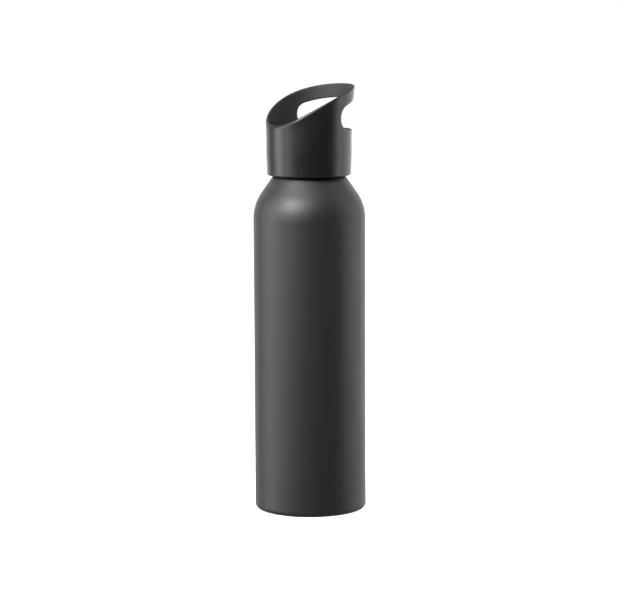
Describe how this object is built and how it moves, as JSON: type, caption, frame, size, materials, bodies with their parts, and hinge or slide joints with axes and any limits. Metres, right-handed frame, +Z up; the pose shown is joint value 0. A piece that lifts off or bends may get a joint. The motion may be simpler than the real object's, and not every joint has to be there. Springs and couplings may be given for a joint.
{
  "type": "sports water bottle",
  "caption": "Slim aluminium sports bottle with a screw cap whose slanted top forms a carry hoop with a finger window.",
  "frame": {"origin": "centre of the bottle's base, on the plane it stands on", "axes": "+Z up along the bottle's axis; +X towards the tall side of the cap's hoop with the cap closed"},
  "size_m": [0.066, 0.066, 0.2522],
  "materials": {
    "powder_coat": "satin powder coat, dark charcoal, over drawn aluminium",
    "cap_plastic": "satin moulded polypropylene, charcoal",
    "liner_plastic": "plain moulded polypropylene, charcoal",
    "silicone": "translucent white silicone"
  },
  "bodies": {
    "bottle": {"bottle_shell": "powder_coat"},
    "seal": {"sealing_gasket": "silicone"},
    "cap": {"cap_shell": "cap_plastic", "thread_liner": "liner_plastic"}
  },
  "joints": [
    {"name": "cap_lift", "type": "slide", "parent": "bottle", "child": "seal", "axis": [0, 0, 1], "range_m": [0, 0.022]},
    {"name": "cap_turn", "type": "hinge", "parent": "seal", "child": "cap", "pos_m": [0, 0, 0.2], "axis": [0, 0, 1], "range_deg": [0, 1980]}
  ],
  "couplings": [
    {"joint": "cap_lift", "follows": "cap_turn", "m_per_rad": 0.0006366}
  ]
}
